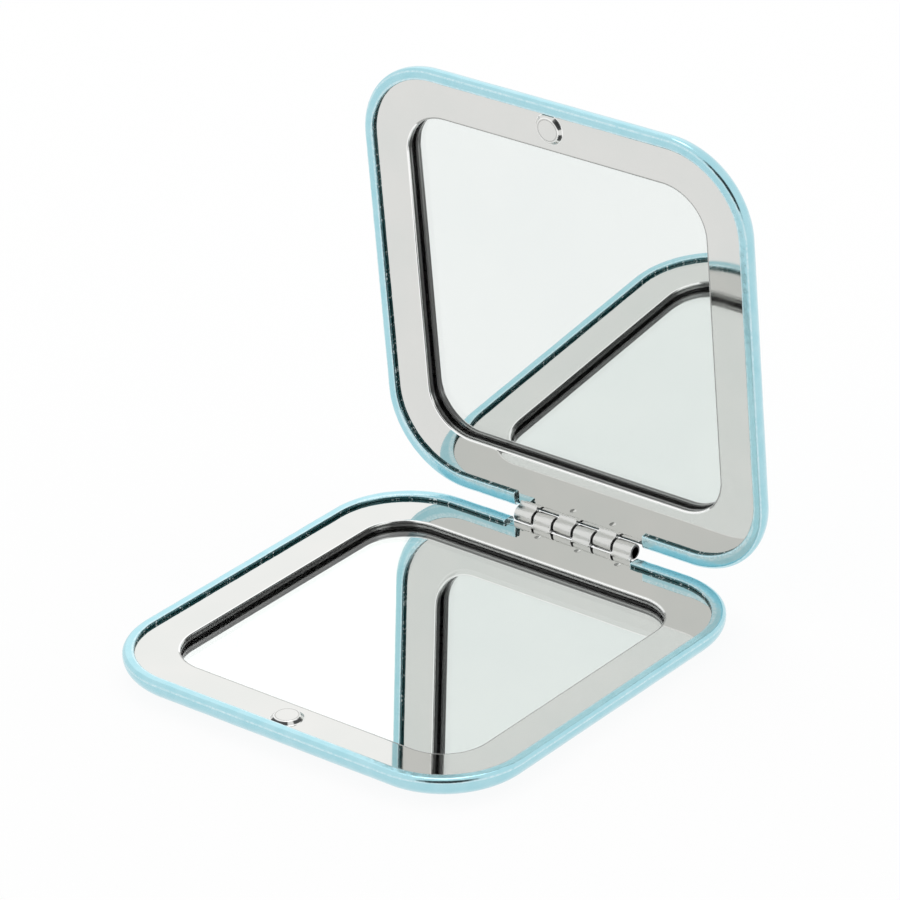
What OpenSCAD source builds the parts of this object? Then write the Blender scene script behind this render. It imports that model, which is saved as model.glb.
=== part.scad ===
// Square compact mirror, shown open.
//
// Two equal halves meet at a rolled hinge. Each half is a stamped tin shell in
// a coloured film skin, closed by a chromed plate. The plate's window is
// flanged inwards onto the mirror glass, and a backing card behind the glass
// holds it there. A magnet sits in a raised boss on each plate.
//
// Origin: centre of the base's underside. +Z up, X along the hinge, the hinge
// on the +Y side. Millimetres.

/* [Case] */
// Outer width of the closed case
case_w = 70; // [56:1:100]
// How much further the case reaches on the hinge's side than on the others
hinge_side_out = 1; // [0.6:0.1:1.4]
// Outer corner radius, seen from above
case_corner_r = 13.8; // [11:0.2:18]
// Width of the rim that is folded in over the plate
rim_w = 1.8; // [1.4:0.1:2.4]
// How much wider the rim is on the hinge's side
hinge_rim_extra = 0.6; // [0.2:0.1:1]
// Height of the side wall between the rim's top and the rounded edge
side_h = 0.8; // [0.7:0.05:1.2]
// How far the rounded edge runs in under the case
edge_run = 5.2; // [3:0.1:7]
// Gap between the two rims when the case is closed
closed_gap = 0.1; // [0.06:0.02:0.4]

/* [Sheets] */
// Thickness of the film skin
skin_t = 0.15; // [0.1:0.01:0.2]
// Thickness of the tin shell
shell_t = 0.3; // [0.2:0.02:0.4]
// Thickness of the chromed plate
plate_t = 0.4; // [0.3:0.02:0.5]
// Inside bend radius of the tin shell's rim
shell_bend_r = 0.1; // [0.05:0.01:0.2]
// Gap between the skin's fold under the rim and the bend of the tin shell
skin_fold_gap = 0.15; // [0.05:0.05:0.4]
// Gap between the plate's edge and the shell around it
plate_gap = 0.25; // [0.1:0.05:0.4]

/* [Window and mirror] */
// Corner radius of the window
window_corner_r = 7.3; // [5:0.1:12]
// Depth of the window's flange, from the plate's face to the glass
flange_depth = 1; // [0.8:0.05:1.4]
// Inside bend radius of the window's flange
flange_bend_r = 0.1; // [0.05:0.01:0.2]
// Thickness of the mirror glass
mirror_t = 1.2; // [0.9:0.1:1.5]
// How far the glass reaches behind the flange
mirror_lap = 1.3; // [0.8:0.1:1.6]
// Thickness of the backing card between the glass and the shell's floor
card_t = 0.85; // [0.5:0.05:2]

/* [Magnet boss] */
// Gap between the boss and the bent edge of the window
boss_gap = 0.7; // [0.4:0.1:3]
// Radius of the boss at the plate
boss_r = 2.45; // [2.2:0.05:2.7]
// Radius of the boss's flat top
boss_top_r = 1.9; // [1.75:0.05:2.1]
// Height of the boss above the plate
boss_h = 0.5; // [0.4:0.05:0.6]
// Radius of the disc magnet
magnet_r = 1.5; // [1.2:0.05:1.6]
// Thickness of the disc magnet
magnet_t = 1.2; // [0.8:0.1:1.4]
// Gap around the magnet in its pocket
magnet_gap = 0.04; // [0.02:0.01:0.08]

/* [Hinge] */
// Angle between the two plates, as the case is shown
open_angle = 85.5; // [0:0.5:180]
// Number of knuckles, shared by turns between the lid and the base
knuckle_count = 6; // [4:2:10]
// Width of the row of knuckles
hinge_w = 22.4; // [18:0.2:30]
// Gap between neighbouring knuckles
knuckle_gap = 0.4; // [0.2:0.02:0.5]
// Distance of the hinge axis outside the case's edge
axis_out = 0.8; // [0.7:0.05:1.4]
// Radius of the hinge pin
pin_r = 0.8; // [0.7:0.02:0.9]
// Radial gap between the pin and the lid's knuckles, which turn on it
pin_gap = 0.05; // [0.03:0.01:0.08]
// Radial gap between the pin and the base's knuckles, which are closed on it
pin_grip_gap = 0.01; // [0.005:0.001:0.02]
// How far the pin's ends lie inside the row's width
pin_recess = 0.6; // [0.4:0.05:1]
// Radius of the hollow where a knuckle rises from its plate
root_r = 0.8; // [0.6:0.05:1]
// Width of the seam where the rolled sheet ends
seam_w = 0.12; // [0.08:0.01:0.2]
// Gap between a knuckle and the edge of the other plate
slot_gap = 0.15; // [0.12:0.01:0.3]
// Gap in the base rim's cut-out beside the first knuckle
cutout_gap = 0.1; // [0.05:0.05:0.8]
// Gap in the lid rim's cut-out beside the first knuckle
lid_cutout_gap = 0.45; // [0.1:0.05:1.2]
// Gap in both cut-outs beside the last knuckle
cutout_end_gap = 1.2; // [0.2:0.1:1.5]
// Depth of the cut-outs below the plate
cutout_drop = 0.1; // [0.08:0.02:0.4]
// Radius of the small stamped dimples in front of the base's knuckles
dimple_r = 0.55; // [0.3:0.05:0.7]
// Depth of the dimples
dimple_depth = 0.15; // [0.08:0.01:0.25]
// Distance of the dimples from the hinge axis
dimple_back = 3.7; // [3:0.1:4.5]

/* [Hidden] */
$fn = 64;

// Colours, as the photograph shows them
SKIN_COLOR = [0.67, 0.87, 0.91];
SHELL_COLOR = [0.62, 0.63, 0.64];
PLATE_COLOR = [0.80, 0.80, 0.78];
MIRROR_COLOR = [0.90, 0.93, 0.93];
CARD_COLOR = [0.55, 0.53, 0.50];
STEEL_COLOR = [0.70, 0.70, 0.70];

// How far a swept edge or a knuckle's tongue reaches into the flat of its own sheet
sheet_lap = 1;

// Faces on each round stretch of a swept profile
edge_steps = 12;
fold_steps = 6;

// Levels of one half, from the underside up: the floor, the card, the glass,
// the window's flange and the rim that is folded over the plate
floor_t = skin_t + shell_t;
glass_z = floor_t + card_t + mirror_t;
plate_z = glass_z + flange_depth;
rim_t = 2 * skin_t + shell_t;
half_h = plate_z + rim_t;

// The case's outer edge
case_half = case_w / 2;
edge_drop = half_h - side_h;
rim_edge_r = shell_bend_r + floor_t;
rim_inner = case_half - rim_w;
rim_back_out = hinge_side_out - hinge_rim_extra;
fold_r = rim_t / 2;
// How far the rim's edge and its tip each reach into the flat between them
rim_lap = (rim_w - fold_r - rim_edge_r) / 4;

// The plate, the glass and the card. The boss just fits on the plate between
// the rim and the window, so it sets the window's width.
plate_half = case_half - floor_t - plate_gap;
plate_corner_r = case_corner_r - floor_t - plate_gap;
flange_r = flange_bend_r + plate_t;
window_half = rim_inner - 2 * boss_r - boss_gap - flange_r;
glass_half = window_half + mirror_lap;
glass_corner_r = window_corner_r + mirror_lap;

// The magnet's boss touches the rim
boss_y = boss_r - rim_inner;
boss_roof_t = plate_t / 2;

// The hinge
axis_y = case_half + hinge_side_out + axis_out;
axis_z = half_h + closed_gap / 2;
knuckle_r = pin_r + pin_gap + plate_t;
knuckle_pitch = hinge_w / knuckle_count;
knuckle_w = knuckle_pitch - knuckle_gap;
tongue_edge = knuckle_r + slot_gap;
pin_len = hinge_w - 2 * pin_recess;
seam_angle = 250;
// Each dimple lies this share of a knuckle's width past the knuckle's middle
dimple_share = 0.3;

// Overrun of a cut past the face that it opens
over = 1;

// Shapes that repeat

// Points along an arc of an ellipse
function arc_points(centre, rx, ry, from, to, steps) = [
    for (i = [0 : steps])
        let (a = from + (to - from) * i / steps)
        [centre.x + rx * cos(a), centre.y + ry * sin(a)]
];

// A list of points in the other order
function reversed(points) = [for (i = [len(points) - 1 : -1 : 0]) points[i]];

// The case's outer edge, t inside its surface: from the floor, round the edge,
// up the side and round the corner to the rim's top. x is 0 at the outline.
// It starts a little inside the floor slab, so that the two are one solid.
function edge_points(t) = concat(
    [[-edge_run - sheet_lap, t]],
    arc_points([-edge_run, edge_drop], edge_run - t, edge_drop - t, -90, 0, edge_steps),
    arc_points([-rim_edge_r, half_h - rim_edge_r], rim_edge_r - t, rim_edge_r - t, 0, 90, fold_steps)
);

// The round tip of the rim, t inside its surface: from its top to its underside
function tip_points(t) =
    arc_points([fold_r - rim_w, half_h - fold_r], fold_r - t, fold_r - t, 90, 270, fold_steps * 2);

// A square with round corners, centred, and its hinge side a little further out
module round_square(half, r, back = 0) {
    run = half - r;
    translate([0, back / 2]) {
        square([2 * half, 2 * run + back], center = true);
        square([2 * run, 2 * half + back], center = true);
    }
    for (sx = [-1, 1], y = [-run, run + back])
        translate([sx * run, y])
            circle(r = r);
}

// A slab of that outline between two levels
module round_slab(half, r, low, high, back = 0) {
    translate([0, 0, low])
        linear_extrude(high - low)
            round_square(half, r, back);
}

// A 2D profile carried round that outline.
// The profile's x is 0 on the outline and grows outwards, and its y is the height.
module swept_round_square(half, r, back = 0) {
    run = half - r;
    for (turn = [0 : 3])
        translate([0, turn < 2 ? back : 0, 0])
            rotate(90 * turn)
                translate([run, run, 0]) {
                    rotate([90, 0, 0])
                        linear_extrude(2 * run + (turn % 2 == 0 ? back : 0))
                            translate([r, 0])
                                children();
                    rotate_extrude(angle = 90)
                        translate([r, 0])
                            children();
                }
}

// The flat of the folded rim between two levels. It reaches under the rounded
// edge by one length and under the tip by another, measured inwards from each path.
module rim_flat(low, high, edge_in, tip_in) {
    translate([0, 0, low])
        linear_extrude(high - low)
            difference() {
                round_square(case_half - edge_in, case_corner_r - edge_in, hinge_side_out);
                round_square(case_half - tip_in, case_corner_r - tip_in, rim_back_out);
            }
}

// The cut-out for the hinge in the rim, wider than the row of knuckles
module hinge_cutout(first_gap) {
    translate([-hinge_w / 2 - first_gap, rim_inner - over, plate_z - plate_t - cutout_drop])
        cube([first_gap + hinge_w + cutout_end_gap, rim_w + hinge_side_out + 2 * over, half_h]);
}

// Puts a closed lid, drawn as a base is drawn, over the base and opens it
module in_lid_place() {
    translate([0, axis_y, axis_z])
        rotate([-open_angle, 0, 0])
            mirror([0, 0, 1])
                translate([0, -axis_y, -axis_z])
                    children();
}

// Pieces of one half

// The film skin: over the floor, round the edge, over the rim and under it
module skin(first_gap) {
    edge_flat = -rim_edge_r - rim_lap;
    tip_flat = fold_r - rim_w + rim_lap;
    fold_z = half_h - rim_t;
    color(SKIN_COLOR)
        difference() {
            union() {
                round_slab(case_half - edge_run, case_corner_r - edge_run, 0, skin_t, hinge_side_out);
                swept_round_square(case_half, case_corner_r, hinge_side_out)
                    polygon(concat(
                        edge_points(0),
                        [[edge_flat, half_h], [edge_flat, half_h - skin_t]],
                        reversed(edge_points(skin_t))
                    ));
                swept_round_square(case_half, case_corner_r, rim_back_out)
                    polygon(concat(
                        [[tip_flat, half_h]],
                        tip_points(0),
                        [[tip_flat, fold_z], [tip_flat, fold_z + skin_t]],
                        reversed(tip_points(skin_t)),
                        [[tip_flat, half_h - skin_t]]
                    ));
                rim_flat(half_h - skin_t, half_h, rim_edge_r, rim_w - fold_r);
                rim_flat(fold_z, fold_z + skin_t, rim_edge_r + skin_fold_gap, rim_w - fold_r);
            }
            hinge_cutout(first_gap);
        }
}

// The tin shell inside the skin
module shell(first_gap) {
    edge_flat = -rim_edge_r - rim_lap;
    tip_flat = fold_r - rim_w + rim_lap;
    color(SHELL_COLOR)
        difference() {
            union() {
                round_slab(case_half - edge_run, case_corner_r - edge_run, skin_t, floor_t, hinge_side_out);
                swept_round_square(case_half, case_corner_r, hinge_side_out)
                    polygon(concat(
                        edge_points(skin_t),
                        [[edge_flat, half_h - skin_t], [edge_flat, half_h - floor_t]],
                        reversed(edge_points(floor_t))
                    ));
                swept_round_square(case_half, case_corner_r, rim_back_out)
                    polygon(concat(
                        [[tip_flat, half_h - skin_t]],
                        tip_points(skin_t),
                        [[tip_flat, half_h - floor_t]]
                    ));
                rim_flat(half_h - floor_t, half_h - skin_t, rim_edge_r, rim_w - fold_r);
            }
            hinge_cutout(first_gap);
        }
}

// Section of a rolled knuckle round the hinge axis, seen along the hinge.
// x is the distance from the axis away from the plate, y the height over it.
module knuckle_section(bore_r) {
    face_y = plate_z - axis_z;
    hollow_y = face_y + root_r;
    hollow_x = -sqrt(pow(knuckle_r + root_r, 2) - pow(hollow_y, 2));
    reach = knuckle_r / (knuckle_r + root_r);
    difference() {
        union() {
            circle(r = knuckle_r);
            translate([-tongue_edge - sheet_lap, face_y - plate_t])
                square([tongue_edge + sheet_lap, plate_t]);
            difference() {
                polygon([
                    [hollow_x, face_y],
                    [hollow_x, hollow_y],
                    [hollow_x * reach, hollow_y * reach],
                    [0, 0],
                    [0, face_y]
                ]);
                translate([hollow_x, hollow_y])
                    circle(r = root_r);
            }
        }
        circle(r = bore_r);
        rotate(seam_angle)
            translate([0, -seam_w / 2])
                square([knuckle_r + plate_t, seam_w]);
    }
}

// Every second knuckle of the row, starting with number first
module knuckles(first, bore_r) {
    for (i = [first : 2 : knuckle_count - 1])
        translate([-hinge_w / 2 + i * knuckle_pitch + knuckle_gap / 2, axis_y, axis_z])
            rotate([90, 0, 90])
                linear_extrude(knuckle_w)
                    knuckle_section(bore_r);
}

// Section of the window's flange: the flat sheet bends down to the glass
module flange_section() {
    bend = [flange_r, plate_z - flange_r];
    polygon(concat(
        [[0, glass_z]],
        arc_points(bend, flange_r, flange_r, 180, 90, fold_steps),
        [[flange_r + sheet_lap, plate_z], [flange_r + sheet_lap, plate_z - plate_t]],
        arc_points(bend, flange_bend_r, flange_bend_r, 90, 180, fold_steps),
        [[plate_t, glass_z]]
    ));
}

// The raised boss with a pocket for the magnet under its roof
module boss() {
    translate([0, boss_y, plate_z])
        cylinder(h = boss_h, r1 = boss_r, r2 = boss_top_r);
}

module boss_pocket() {
    translate([0, boss_y, plate_z - plate_t - over])
        cylinder(h = plate_t + over + boss_h - boss_roof_t, r = magnet_r + magnet_gap);
}

// The small dimples stamped into the plate in front of its knuckles
module dimples(first) {
    ball_r = (pow(dimple_r, 2) + pow(dimple_depth, 2)) / (2 * dimple_depth);
    for (i = [first : 2 : knuckle_count - 1])
        translate([
            -hinge_w / 2 + (i + 1 / 2 + dimple_share) * knuckle_pitch,
            axis_y - dimple_back,
            plate_z - dimple_depth + ball_r
        ])
            sphere(r = ball_r);
}

// The chromed plate with its window, boss and knuckles
module plate(first, bore_r) {
    color(PLATE_COLOR)
        difference() {
            union() {
                difference() {
                    union() {
                        round_slab(plate_half, plate_corner_r, plate_z - plate_t, plate_z,
                            hinge_side_out);
                        translate([-hinge_w / 2, 0, plate_z - plate_t])
                            cube([hinge_w, axis_y - tongue_edge, plate_t]);
                    }
                    round_slab(window_half + flange_r, window_corner_r + flange_r,
                        plate_z - plate_t - over, plate_z + over);
                }
                swept_round_square(window_half, window_corner_r)
                    flange_section();
                boss();
                knuckles(first, bore_r);
            }
            boss_pocket();
        }
}

module mirror_glass() {
    color(MIRROR_COLOR)
        round_slab(glass_half, glass_corner_r, glass_z - mirror_t, glass_z);
}

// The card fills the space between the glass and the shell's floor
module backing_card() {
    color(CARD_COLOR)
        round_slab(glass_half, glass_corner_r, floor_t, floor_t + card_t);
}

// The disc magnet, against the roof of its pocket
module magnet() {
    color(STEEL_COLOR)
        translate([0, boss_y, plate_z + boss_h - boss_roof_t - magnet_t])
            cylinder(h = magnet_t, r = magnet_r);
}

// The pieces in their places

module base_skin() { skin(cutout_gap); }
module base_shell() { shell(cutout_gap); }
module base_plate() {
    difference() {
        plate(1, pin_r + pin_grip_gap);
        dimples(1);
    }
}
module base_mirror() { mirror_glass(); }
module base_backing_card() { backing_card(); }
module base_magnet() { magnet(); }

module hinge_pin() {
    color(STEEL_COLOR)
        translate([-pin_len / 2, axis_y, axis_z])
            rotate([0, 90, 0])
                cylinder(h = pin_len, r = pin_r);
}

module lid_skin() { in_lid_place() skin(lid_cutout_gap); }
module lid_shell() { in_lid_place() shell(lid_cutout_gap); }
module lid_plate() { in_lid_place() plate(0, pin_r + pin_gap); }
module lid_mirror() { in_lid_place() mirror_glass(); }
module lid_backing_card() { in_lid_place() backing_card(); }
module lid_magnet() { in_lid_place() magnet(); }

base_skin();
base_shell();
base_plate();
base_mirror();
base_backing_card();
base_magnet();
hinge_pin();
lid_skin();
lid_shell();
lid_plate();
lid_mirror();
lid_backing_card();
lid_magnet();
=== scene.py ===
"""Looks of a square compact mirror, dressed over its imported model.

Two equal halves meet at a rolled hinge. Each half is a tin shell in a metallised
film skin, closed by a chromed plate whose window is flanged down onto the mirror.
All sizes in the classes are millimetres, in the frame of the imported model.
"""

import logging
import math
from contextlib import contextmanager
from dataclasses import dataclass, field
from enum import Enum
from typing import Any, Callable, Iterator, Sequence

import bmesh
import bpy
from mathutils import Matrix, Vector


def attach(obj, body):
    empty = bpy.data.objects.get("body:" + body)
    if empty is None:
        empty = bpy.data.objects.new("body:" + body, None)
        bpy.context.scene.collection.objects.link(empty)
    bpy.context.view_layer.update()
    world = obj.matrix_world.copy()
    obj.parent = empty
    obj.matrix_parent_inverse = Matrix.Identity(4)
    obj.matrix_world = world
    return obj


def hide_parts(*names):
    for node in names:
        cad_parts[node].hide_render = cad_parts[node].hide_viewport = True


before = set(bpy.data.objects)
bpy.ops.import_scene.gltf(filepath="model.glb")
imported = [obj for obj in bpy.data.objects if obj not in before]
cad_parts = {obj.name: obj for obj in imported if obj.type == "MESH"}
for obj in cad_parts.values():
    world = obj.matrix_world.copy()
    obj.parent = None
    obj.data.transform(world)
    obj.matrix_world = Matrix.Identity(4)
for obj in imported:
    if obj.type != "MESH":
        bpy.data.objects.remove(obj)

LOG = logging.getLogger("compact_mirror")
MM = 0.001
NEAR = 0.001  # places as near as this, in millimetres, are the same
LOOSE = 0.01  # the same for places that a curve or a bevel has touched
CREASED = 1.0  # faces that turn by more than this, in radians, meet at an edge
HINGE_SIDE = 30.0  # beyond this y lies what belongs to the hinge's side
CLOUD_LOW, CLOUD_HIGH = 0.3, 0.7  # heights that most of Blender's noise lies between
Point = Sequence[float]
Pair = tuple[float, float]
Clouds = tuple[Any, ...]  # size, detail, distortion and stretch, as Graph.noise takes them
Socket = bpy.types.NodeSocket


class Part(Enum):
    """What a selection in edit mode is made of."""

    VERTS = "VERT"
    EDGES = "EDGE"
    FACES = "FACE"


class Half(Enum):
    """The two halves of the case, which are also its two bodies."""

    BASE = "base"
    LID = "lid"


@dataclass(frozen=True)
class HingeLine:
    """The axis that the lid turns on, and how far it stands open."""

    y: float = 36.8
    z: float = 4.15
    open_angle: float = 85.5

    @property
    def point(self) -> Vector:
        """A point of the axis, in metres."""
        return Vector((0, self.y, self.z)) * MM

    def away(self, p: Vector) -> float:
        """How far a point lies from the axis."""
        return math.hypot(p.y - self.y, p.z - self.z)


AXIS = HingeLine()


def arc(centre: Point, rx: float, ry: float, start: float, stop: float, steps: int) -> list[Point]:
    """Points along an arc of an ellipse, both ends with them, its angles in degrees."""
    angles = [math.radians(start + (stop - start) * i / steps) for i in range(steps + 1)]
    return [(centre[0] + rx * math.cos(a), centre[1] + ry * math.sin(a)) for a in angles]


def straight(start: Point, stop: Point, steps: int) -> list[Point]:
    """Points along a straight line, both ends with them."""
    shares = [i / steps for i in range(steps + 1)]
    return [tuple(a + (b - a) * s for a, b in zip(start, stop)) for s in shares]


def joined(*stretches: Sequence[Point]) -> list[Point]:
    """Stretches of points one after another, without the points that repeat.

    Args:
        *stretches: Lists of points.

    Returns:
        One list of points.
    """
    points: list[Point] = []
    for point in (p for stretch in stretches for p in stretch):
        if not points or math.dist(points[-1], point) > 1e-6:
            points.append(point)
    return points


def middle(element: Any) -> Vector:
    """The middle of a vertex, an edge or a face, in millimetres.

    Args:
        element: The vertex, edge or face, in edit mode.

    Returns:
        Its place.
    """
    if isinstance(element, bmesh.types.BMVert):
        return element.co / MM
    if isinstance(element, bmesh.types.BMEdge):
        return (element.verts[0].co + element.verts[1].co) / 2 / MM
    return element.calc_center_median() / MM


def span(edge: Any, axis: int) -> float:
    """How far an edge reaches along an axis, in millimetres."""
    return abs(edge.verts[0].co[axis] - edge.verts[1].co[axis]) / MM


def added(operator: Callable[..., Any], **settings: Any) -> bpy.types.Object:
    """Adds a primitive with nothing else selected.

    Args:
        operator: Blender's operator that adds it.
        **settings: Its settings.

    Returns:
        The new object.
    """
    bpy.ops.object.select_all(action="DESELECT")
    operator(**settings)
    return bpy.context.object


class Workpiece:
    """One mesh on the bench, shaped in edit mode with Blender's own tools."""

    def __init__(self, piece: bpy.types.Object, name: str) -> None:
        """Takes an object that was just added and names it."""
        self.piece = piece
        self.rename(name)

    @classmethod
    def from_point(cls, name: str, place: Point) -> "Workpiece":
        """Starts a piece from one vertex, a small plane that is merged at its centre.

        Args:
            name: Name of the piece.
            place: Where the vertex lies.

        Returns:
            The new piece.
        """
        work = cls(added(bpy.ops.mesh.primitive_plane_add, size=MM), name)
        with work.edit(select=True):
            bpy.ops.mesh.merge(type="CENTER")
            bpy.ops.transform.translate(value=Vector(place) * MM)
        return work

    def rename(self, name: str) -> None:
        """Gives the object and its mesh one name."""
        self.piece.name = self.piece.data.name = name

    def alone(self) -> None:
        """Selects this piece and nothing else."""
        bpy.ops.object.select_all(action="DESELECT")
        self.piece.select_set(True)
        bpy.context.view_layer.objects.active = self.piece

    @contextmanager
    def edit(self, select: bool = False) -> Iterator[None]:
        """Opens the piece alone in edit mode and closes it again.

        Args:
            select: Whether everything in it is selected at first.

        Yields:
            Nothing.
        """
        self.alone()
        bpy.ops.object.mode_set(mode="EDIT")
        bpy.ops.mesh.select_mode(type=Part.VERTS.value)
        bpy.ops.mesh.select_all(action="SELECT" if select else "DESELECT")
        try:
            yield
        finally:
            bpy.ops.object.mode_set(mode="OBJECT")

    def pick(self, part: Part, test: Callable[[Any], bool]) -> int:
        """Selects in edit mode what passes a test, and nothing else.

        Args:
            part: Vertices, edges or faces.
            test: Says whether an element is selected.

        Returns:
            The number of elements selected.
        """
        bpy.ops.mesh.select_mode(type=part.value)
        bpy.ops.mesh.select_all(action="DESELECT")
        shape = bmesh.from_edit_mesh(self.piece.data)
        elements = {Part.VERTS: shape.verts, Part.EDGES: shape.edges, Part.FACES: shape.faces}[part]
        chosen = [element for element in elements if test(element)]
        for element in chosen:
            element.select_set(True)
        bmesh.update_edit_mesh(self.piece.data, loop_triangles=False, destructive=False)
        return len(chosen)

    def draw(self, points: Sequence[Point]) -> None:
        """Draws a chain of edges from the selected vertex, in edit mode.

        Args:
            points: The points of the chain, the first where the vertex is now.
        """
        for a, b in zip(points, points[1:]):
            step = (Vector(b) - Vector(a)) * MM
            bpy.ops.mesh.extrude_region_move(TRANSFORM_OT_translate={"value": step})

    def carry(self, step: Point, steps: int) -> None:
        """Extrudes what is selected along a straight line, step by step."""
        bpy.ops.mesh.extrude_repeat(steps=steps, offset=Vector(step) * MM)

    def turn(self, centre: Point, steps: int, angle: float = 90) -> None:
        """Extrudes what is selected round an upright axis, clockwise from above.

        Args:
            centre: Where the axis stands.
            steps: Faces round the turn.
            angle: The turn in degrees.
        """
        bpy.ops.mesh.spin(
            steps=steps, angle=math.radians(angle), center=Vector((*centre, 0)) * MM, axis=(0, 0, 1)
        )

    def weld(self) -> None:
        """Merges doubles and turns the faces outwards."""
        with self.edit(select=True):
            bpy.ops.mesh.remove_doubles(threshold=NEAR * MM)
            bpy.ops.mesh.normals_make_consistent(inside=False)

    def bevel(self, test: Callable[[Any], bool], width: float, segments: int) -> None:
        """Bevels the edges that pass a test.

        Args:
            test: Says whether an edge is bevelled.
            width: Width of the bevel.
            segments: Faces across it.
        """
        with self.edit():
            if self.pick(Part.EDGES, test):
                bpy.ops.mesh.bevel(
                    offset=width * MM, segments=segments, affect="EDGES", clamp_overlap=False
                )

    def modify(self, kind: str, **settings: Any) -> None:
        """Adds a modifier and applies it.

        Args:
            kind: Blender's name of the modifier.
            **settings: Its settings.
        """
        self.alone()
        modifier = self.piece.modifiers.new(kind.title(), kind)
        for key, value in settings.items():
            setattr(modifier, key, value)
        bpy.ops.object.modifier_apply(modifier=modifier.name)

    def group(self, name: str, weight: Callable[[Vector], float]) -> None:
        """Makes a vertex group.

        Args:
            name: Name of the group.
            weight: Gives a vertex's weight from its place.
        """
        group = self.piece.vertex_groups.new(name=name)
        for vertex in self.piece.data.vertices:
            share = weight(vertex.co / MM)
            if share > 0:
                group.add([vertex.index], min(share, 1.0), "REPLACE")

    def paint(self, name: str, weight: Callable[[Vector], float]) -> None:
        """Stores a number at every vertex, from its place, for the finish to read."""
        values = [weight(vertex.co / MM) for vertex in self.piece.data.vertices]
        self.piece.data.attributes.new(name, "FLOAT", "POINT").data.foreach_set("value", values)

    def wrinkle(self, group: str, size: float, height: float, depth: int = 2) -> None:
        """Pushes a vertex group in and out by clouds of one size.

        Args:
            group: Vertex group that is pushed.
            size: Size of the clouds.
            height: Height from the lowest to the highest place.
            depth: Finer levels in the clouds.
        """
        clouds = bpy.data.textures.new(f"{group}_{size}", type="CLOUDS")
        clouds.noise_scale = size * MM
        clouds.noise_depth = depth
        self.modify(
            "DISPLACE", texture=clouds, texture_coords="LOCAL", vertex_group=group,
            strength=height * MM, mid_level=0.5,
        )

    def absorb(self, *others: "Workpiece") -> None:
        """Joins other pieces into this one.

        Args:
            *others: The pieces that it takes in.
        """
        self.alone()
        for other in others:
            other.piece.select_set(True)
        bpy.ops.object.join()

    def copy(self, name: str) -> "Workpiece":
        """Makes a copy with its own mesh.

        Args:
            name: Name of the copy.

        Returns:
            The copy.
        """
        self.alone()
        bpy.ops.object.duplicate(linked=False)
        return Workpiece(bpy.context.object, name)

    def shift(self, x: float) -> "Workpiece":
        """Moves the whole mesh along the hinge.

        Args:
            x: How far it moves to the right.

        Returns:
            The same piece.
        """
        with self.edit(select=True):
            bpy.ops.transform.translate(value=Vector((x, 0, 0)) * MM)
        return self

    def into_lid(self) -> None:
        """Turns a piece drawn as the base's into the open lid's place."""
        with self.edit(select=True):
            bpy.ops.transform.resize(value=(1, 1, -1), center_override=AXIS.point)
            bpy.ops.transform.rotate(
                value=math.radians(AXIS.open_angle), orient_axis="X", center_override=AXIS.point
            )
            bpy.ops.mesh.flip_normals()

    def smooth(self, angle: float = 35) -> None:
        """Shades the piece smooth but for its sharp edges, with flats that stay flat.

        Args:
            angle: Turn in degrees from which an edge stays sharp.
        """
        self.alone()
        bpy.ops.object.shade_smooth_by_angle(angle=math.radians(angle))
        self.modify("WEIGHTED_NORMAL", keep_sharp=True, weight=80)

    def dress(self, finish: "Finish", half: Half, slot: str, *replaced: str) -> None:
        """Gives the finished piece its material and body, and hides the CAD nodes it stands for.

        Args:
            finish: The finish that covers it.
            half: The body that it rides on.
            slot: The record's material slot; not used.
            *replaced: CAD nodes that it stands for.
        """
        finish.cover(self.piece)
        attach(self.piece, half.value)
        if replaced:
            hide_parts(*replaced)
        self.piece.data.calc_loop_triangles()
        LOG.info("%s: %d triangles", self.piece.name, len(self.piece.data.loop_triangles))


@dataclass(frozen=True)
class RoundSquare:
    """A square path with round corners, followed clockwise from its back side."""

    half: float
    corner_r: float
    back: float = 0.0

    @property
    def run(self) -> float:
        """Half the length of a straight side, without what the back side stands out."""
        return self.half - self.corner_r

    def beyond(self, p: Point) -> float:
        """How far a point lies outside the path.

        Args:
            p: The point.

        Returns:
            The distance, below 0 inside.
        """
        across = abs(p[0]) - self.run
        along = max(p[1] - self.back, -p[1]) - self.run
        if across > 0 and along > 0:
            return math.hypot(across, along) - self.corner_r
        return max(across, along) - self.corner_r

    def sweep(
        self, name: str, section: Sequence[Point], pitch: float, corner_steps: int,
        stops: Sequence[float] = (),
    ) -> Workpiece:
        """Carries a section once round the path, from the left end of its back side.

        Args:
            name: Name of the new piece.
            section: Points as distance outwards and height.
            pitch: Length of a step along the straight sides.
            corner_steps: Steps round a corner.
            stops: Places along the back side that a step ends at.

        Returns:
            The closed ring as a single sheet.
        """
        run, top = self.run, self.run + self.back
        points = [(-run, self.half + self.back + out, z) for out, z in section]
        sides = ((1, 0, run, top), (0, -1, run, -run), (-1, 0, -run, -run), (0, 1, -run, top))
        marks = [0.0, *(run + stop for stop in stops)]
        work = Workpiece.from_point(name, points[0])
        with work.edit(select=True):
            work.draw(points)
            bpy.ops.mesh.select_all(action="SELECT")
            for dx, dy, *corner in sides:
                marks.append(run + (top if dy else run))
                for a, b in zip(marks, marks[1:]):
                    steps = max(1, round((b - a) / pitch))
                    length = (b - a) / steps
                    work.carry((dx * length, dy * length, 0), steps)
                work.turn(corner, corner_steps)
                marks = [0.0]
        work.weld()
        return work


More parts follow.
